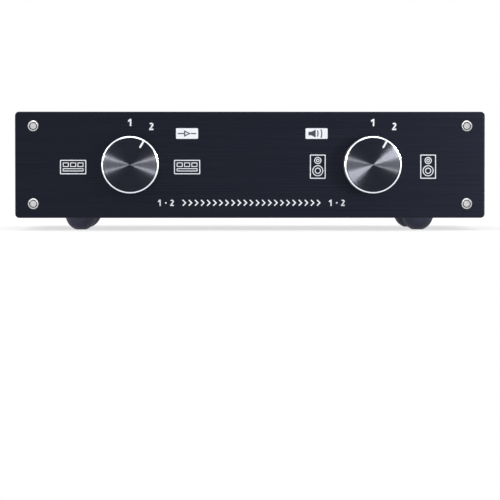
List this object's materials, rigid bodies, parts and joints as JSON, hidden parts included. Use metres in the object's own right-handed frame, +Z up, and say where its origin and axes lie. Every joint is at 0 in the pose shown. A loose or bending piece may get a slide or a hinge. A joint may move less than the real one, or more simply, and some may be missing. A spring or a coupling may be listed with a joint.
{
  "type": "speaker selector switch",
  "caption": "Low black metal box with rotary dials in front and rows of clear screw-cap binding posts behind, on rubber dome feet.",
  "frame": {"origin": "middle of the whole box in X and Y, on the surface that the feet stand on", "axes": "+X to the right seen from the dials' side, +Y from the dials to the binding posts, +Z up"},
  "size_m": [0.23, 0.1404, 0.0581],
  "materials": {
    "front_anodised": "black brushed anodised",
    "rear_black": "satin black",
    "case_anodised": "dark grey anodised extrusion",
    "cover_black": "fine satin black powder coat",
    "silver_screw": "bright zinc plated",
    "black_screw": "black oxide",
    "foot_rubber": "matt dark rubber",
    "knob_anodised": "turned, black anodised, bright cut ring",
    "switch_steel": "nickel plated",
    "switch_zinc": "die-cast zinc",
    "switch_plastic": "moulded phenolic",
    "lug_tin": "tinned",
    "clear_plastic": "clear polycarbonate",
    "gold_brass": "gold plated",
    "sleeve_brass": "dull gold plated",
    "board_laminate": "green solder mask",
    "ribbon_grey": "grey PVC"
  },
  "bodies": {
    "case": {"front_panel": "front_anodised", "rear_panel": "rear_black", "right_side_rail": "case_anodised", "left_side_rail": "case_anodised", "top_cover": "cover_black", "bottom_cover": "cover_black", "front_screws": "silver_screw", "rear_screws": "black_screw", "rubber_feet": "foot_rubber", "switch_frames": "switch_zinc", "switch_bodies": "switch_plastic", "switch_nuts": "switch_steel", "switch_washers": "switch_steel", "switch_terminals": "lug_tin", "post_bases": "clear_plastic", "post_cores": "gold_brass", "post_nuts": "gold_brass", "terminal_board": "board_laminate", "wiring_ribbons": "ribbon_grey"},
    "amp_dial": {"amp_knob": "knob_anodised", "amp_grub_screw": "black_screw", "amp_switch_shaft": "switch_steel", "amp_switch_rotor": "switch_plastic"},
    "speaker_dial": {"speaker_knob": "knob_anodised", "speaker_grub_screw": "black_screw", "speaker_switch_shaft": "switch_steel", "speaker_switch_rotor": "switch_plastic"},
    "amp1_left_upper_sleeve": {"sleeve_amp1_left_upper": "sleeve_brass"},
    "amp1_left_upper_cap": {"cap_amp1_left_upper": "clear_plastic"},
    "amp1_left_lower_sleeve": {"sleeve_amp1_left_lower": "sleeve_brass"},
    "amp1_left_lower_cap": {"cap_amp1_left_lower": "clear_plastic"},
    "amp1_right_upper_sleeve": {"sleeve_amp1_right_upper": "sleeve_brass"},
    "amp1_right_upper_cap": {"cap_amp1_right_upper": "clear_plastic"},
    "amp1_right_lower_sleeve": {"sleeve_amp1_right_lower": "sleeve_brass"},
    "amp1_right_lower_cap": {"cap_amp1_right_lower": "clear_plastic"},
    "amp2_left_upper_sleeve": {"sleeve_amp2_left_upper": "sleeve_brass"},
    "amp2_left_upper_cap": {"cap_amp2_left_upper": "clear_plastic"},
    "amp2_left_lower_sleeve": {"sleeve_amp2_left_lower": "sleeve_brass"},
    "amp2_left_lower_cap": {"cap_amp2_left_lower": "clear_plastic"},
    "amp2_right_upper_sleeve": {"sleeve_amp2_right_upper": "sleeve_brass"},
    "amp2_right_upper_cap": {"cap_amp2_right_upper": "clear_plastic"},
    "amp2_right_lower_sleeve": {"sleeve_amp2_right_lower": "sleeve_brass"},
    "amp2_right_lower_cap": {"cap_amp2_right_lower": "clear_plastic"},
    "speaker1_left_upper_sleeve": {"sleeve_speaker1_left_upper": "sleeve_brass"},
    "speaker1_left_upper_cap": {"cap_speaker1_left_upper": "clear_plastic"},
    "speaker1_left_lower_sleeve": {"sleeve_speaker1_left_lower": "sleeve_brass"},
    "speaker1_left_lower_cap": {"cap_speaker1_left_lower": "clear_plastic"},
    "speaker1_right_upper_sleeve": {"sleeve_speaker1_right_upper": "sleeve_brass"},
    "speaker1_right_upper_cap": {"cap_speaker1_right_upper": "clear_plastic"},
    "speaker1_right_lower_sleeve": {"sleeve_speaker1_right_lower": "sleeve_brass"},
    "speaker1_right_lower_cap": {"cap_speaker1_right_lower": "clear_plastic"},
    "speaker2_left_upper_sleeve": {"sleeve_speaker2_left_upper": "sleeve_brass"},
    "speaker2_left_upper_cap": {"cap_speaker2_left_upper": "clear_plastic"},
    "speaker2_left_lower_sleeve": {"sleeve_speaker2_left_lower": "sleeve_brass"},
    "speaker2_left_lower_cap": {"cap_speaker2_left_lower": "clear_plastic"},
    "speaker2_right_upper_sleeve": {"sleeve_speaker2_right_upper": "sleeve_brass"},
    "speaker2_right_upper_cap": {"cap_speaker2_right_upper": "clear_plastic"},
    "speaker2_right_lower_sleeve": {"sleeve_speaker2_right_lower": "sleeve_brass"},
    "speaker2_right_lower_cap": {"cap_speaker2_right_lower": "clear_plastic"}
  },
  "joints": [
    {"name": "amp_dial_turn", "type": "hinge", "parent": "case", "child": "amp_dial", "pos_m": [-0.0584, -0.0539, 0.0321], "axis": [0, -1, 0], "range_deg": [0, 30]},
    {"name": "speaker_dial_turn", "type": "hinge", "parent": "case", "child": "speaker_dial", "pos_m": [0.0593, -0.0539, 0.0321], "axis": [0, -1, 0], "range_deg": [0, 30]},
    {"name": "amp1_left_upper_cap_lift", "type": "slide", "parent": "case", "child": "amp1_left_upper_sleeve", "axis": [0, 1, 0], "range_m": [0, 0.005]},
    {"name": "amp1_left_upper_cap_turn", "type": "hinge", "parent": "amp1_left_upper_sleeve", "child": "amp1_left_upper_cap", "pos_m": [0.09135, 0.0544, 0.0436], "axis": [0, 1, 0], "range_deg": [0, 1800]},
    {"name": "amp1_left_lower_cap_lift", "type": "slide", "parent": "case", "child": "amp1_left_lower_sleeve", "axis": [0, 1, 0], "range_m": [0, 0.005]},
    {"name": "amp1_left_lower_cap_turn", "type": "hinge", "parent": "amp1_left_lower_sleeve", "child": "amp1_left_lower_cap", "pos_m": [0.09135, 0.0544, 0.0206], "axis": [0, 1, 0], "range_deg": [0, 1800]},
    {"name": "amp1_right_upper_cap_lift", "type": "slide", "parent": "case", "child": "amp1_right_upper_sleeve", "axis": [0, 1, 0], "range_m": [0, 0.005]},
    {"name": "amp1_right_upper_cap_turn", "type": "hinge", "parent": "amp1_right_upper_sleeve", "child": "amp1_right_upper_cap", "pos_m": [0.06525, 0.0544, 0.0436], "axis": [0, 1, 0], "range_deg": [0, 1800]},
    {"name": "amp1_right_lower_cap_lift", "type": "slide", "parent": "case", "child": "amp1_right_lower_sleeve", "axis": [0, 1, 0], "range_m": [0, 0.005]},
    {"name": "amp1_right_lower_cap_turn", "type": "hinge", "parent": "amp1_right_lower_sleeve", "child": "amp1_right_lower_cap", "pos_m": [0.06525, 0.0544, 0.0206], "axis": [0, 1, 0], "range_deg": [0, 1800]},
    {"name": "amp2_left_upper_cap_lift", "type": "slide", "parent": "case", "child": "amp2_left_upper_sleeve", "axis": [0, 1, 0], "range_m": [0, 0.005]},
    {"name": "amp2_left_upper_cap_turn", "type": "hinge", "parent": "amp2_left_upper_sleeve", "child": "amp2_left_upper_cap", "pos_m": [0.03915, 0.0544, 0.0436], "axis": [0, 1, 0], "range_deg": [0, 1800]},
    {"name": "amp2_left_lower_cap_lift", "type": "slide", "parent": "case", "child": "amp2_left_lower_sleeve", "axis": [0, 1, 0], "range_m": [0, 0.005]},
    {"name": "amp2_left_lower_cap_turn", "type": "hinge", "parent": "amp2_left_lower_sleeve", "child": "amp2_left_lower_cap", "pos_m": [0.03915, 0.0544, 0.0206], "axis": [0, 1, 0], "range_deg": [0, 1800]},
    {"name": "amp2_right_upper_cap_lift", "type": "slide", "parent": "case", "child": "amp2_right_upper_sleeve", "axis": [0, 1, 0], "range_m": [0, 0.005]},
    {"name": "amp2_right_upper_cap_turn", "type": "hinge", "parent": "amp2_right_upper_sleeve", "child": "amp2_right_upper_cap", "pos_m": [0.01305, 0.0544, 0.0436], "axis": [0, 1, 0], "range_deg": [0, 1800]},
    {"name": "amp2_right_lower_cap_lift", "type": "slide", "parent": "case", "child": "amp2_right_lower_sleeve", "axis": [0, 1, 0], "range_m": [0, 0.005]},
    {"name": "amp2_right_lower_cap_turn", "type": "hinge", "parent": "amp2_right_lower_sleeve", "child": "amp2_right_lower_cap", "pos_m": [0.01305, 0.0544, 0.0206], "axis": [0, 1, 0], "range_deg": [0, 1800]},
    {"name": "speaker1_left_upper_cap_lift", "type": "slide", "parent": "case", "child": "speaker1_left_upper_sleeve", "axis": [0, 1, 0], "range_m": [0, 0.005]},
    {"name": "speaker1_left_upper_cap_turn", "type": "hinge", "parent": "speaker1_left_upper_sleeve", "child": "speaker1_left_upper_cap", "pos_m": [-0.01305, 0.0544, 0.0436], "axis": [0, 1, 0], "range_deg": [0, 1800]},
    {"name": "speaker1_left_lower_cap_lift", "type": "slide", "parent": "case", "child": "speaker1_left_lower_sleeve", "axis": [0, 1, 0], "range_m": [0, 0.005]},
    {"name": "speaker1_left_lower_cap_turn", "type": "hinge", "parent": "speaker1_left_lower_sleeve", "child": "speaker1_left_lower_cap", "pos_m": [-0.01305, 0.0544, 0.0206], "axis": [0, 1, 0], "range_deg": [0, 1800]},
    {"name": "speaker1_right_upper_cap_lift", "type": "slide", "parent": "case", "child": "speaker1_right_upper_sleeve", "axis": [0, 1, 0], "range_m": [0, 0.005]},
    {"name": "speaker1_right_upper_cap_turn", "type": "hinge", "parent": "speaker1_right_upper_sleeve", "child": "speaker1_right_upper_cap", "pos_m": [-0.03915, 0.0544, 0.0436], "axis": [0, 1, 0], "range_deg": [0, 1800]},
    {"name": "speaker1_right_lower_cap_lift", "type": "slide", "parent": "case", "child": "speaker1_right_lower_sleeve", "axis": [0, 1, 0], "range_m": [0, 0.005]},
    {"name": "speaker1_right_lower_cap_turn", "type": "hinge", "parent": "speaker1_right_lower_sleeve", "child": "speaker1_right_lower_cap", "pos_m": [-0.03915, 0.0544, 0.0206], "axis": [0, 1, 0], "range_deg": [0, 1800]},
    {"name": "speaker2_left_upper_cap_lift", "type": "slide", "parent": "case", "child": "speaker2_left_upper_sleeve", "axis": [0, 1, 0], "range_m": [0, 0.005]},
    {"name": "speaker2_left_upper_cap_turn", "type": "hinge", "parent": "speaker2_left_upper_sleeve", "child": "speaker2_left_upper_cap", "pos_m": [-0.06525, 0.0544, 0.0436], "axis": [0, 1, 0], "range_deg": [0, 1800]},
    {"name": "speaker2_left_lower_cap_lift", "type": "slide", "parent": "case", "child": "speaker2_left_lower_sleeve", "axis": [0, 1, 0], "range_m": [0, 0.005]},
    {"name": "speaker2_left_lower_cap_turn", "type": "hinge", "parent": "speaker2_left_lower_sleeve", "child": "speaker2_left_lower_cap", "pos_m": [-0.06525, 0.0544, 0.0206], "axis": [0, 1, 0], "range_deg": [0, 1800]},
    {"name": "speaker2_right_upper_cap_lift", "type": "slide", "parent": "case", "child": "speaker2_right_upper_sleeve", "axis": [0, 1, 0], "range_m": [0, 0.005]},
    {"name": "speaker2_right_upper_cap_turn", "type": "hinge", "parent": "speaker2_right_upper_sleeve", "child": "speaker2_right_upper_cap", "pos_m": [-0.09135, 0.0544, 0.0436], "axis": [0, 1, 0], "range_deg": [0, 1800]},
    {"name": "speaker2_right_lower_cap_lift", "type": "slide", "parent": "case", "child": "speaker2_right_lower_sleeve", "axis": [0, 1, 0], "range_m": [0, 0.005]},
    {"name": "speaker2_right_lower_cap_turn", "type": "hinge", "parent": "speaker2_right_lower_sleeve", "child": "speaker2_right_lower_cap", "pos_m": [-0.09135, 0.0544, 0.0206], "axis": [0, 1, 0], "range_deg": [0, 1800]}
  ],
  "couplings": [
    {"joint": "amp1_left_upper_cap_turn", "follows": "amp1_left_upper_cap_lift", "rad_per_m": 6283.1},
    {"joint": "amp1_left_lower_cap_turn", "follows": "amp1_left_lower_cap_lift", "rad_per_m": 6283.1},
    {"joint": "amp1_right_upper_cap_turn", "follows": "amp1_right_upper_cap_lift", "rad_per_m": 6283.1},
    {"joint": "amp1_right_lower_cap_turn", "follows": "amp1_right_lower_cap_lift", "rad_per_m": 6283.1},
    {"joint": "amp2_left_upper_cap_turn", "follows": "amp2_left_upper_cap_lift", "rad_per_m": 6283.1},
    {"joint": "amp2_left_lower_cap_turn", "follows": "amp2_left_lower_cap_lift", "rad_per_m": 6283.1},
    {"joint": "amp2_right_upper_cap_turn", "follows": "amp2_right_upper_cap_lift", "rad_per_m": 6283.1},
    {"joint": "amp2_right_lower_cap_turn", "follows": "amp2_right_lower_cap_lift", "rad_per_m": 6283.1},
    {"joint": "speaker1_left_upper_cap_turn", "follows": "speaker1_left_upper_cap_lift", "rad_per_m": 6283.1},
    {"joint": "speaker1_left_lower_cap_turn", "follows": "speaker1_left_lower_cap_lift", "rad_per_m": 6283.1},
    {"joint": "speaker1_right_upper_cap_turn", "follows": "speaker1_right_upper_cap_lift", "rad_per_m": 6283.1},
    {"joint": "speaker1_right_lower_cap_turn", "follows": "speaker1_right_lower_cap_lift", "rad_per_m": 6283.1},
    {"joint": "speaker2_left_upper_cap_turn", "follows": "speaker2_left_upper_cap_lift", "rad_per_m": 6283.1},
    {"joint": "speaker2_left_lower_cap_turn", "follows": "speaker2_left_lower_cap_lift", "rad_per_m": 6283.1},
    {"joint": "speaker2_right_upper_cap_turn", "follows": "speaker2_right_upper_cap_lift", "rad_per_m": 6283.1},
    {"joint": "speaker2_right_lower_cap_turn", "follows": "speaker2_right_lower_cap_lift", "rad_per_m": 6283.1}
  ]
}
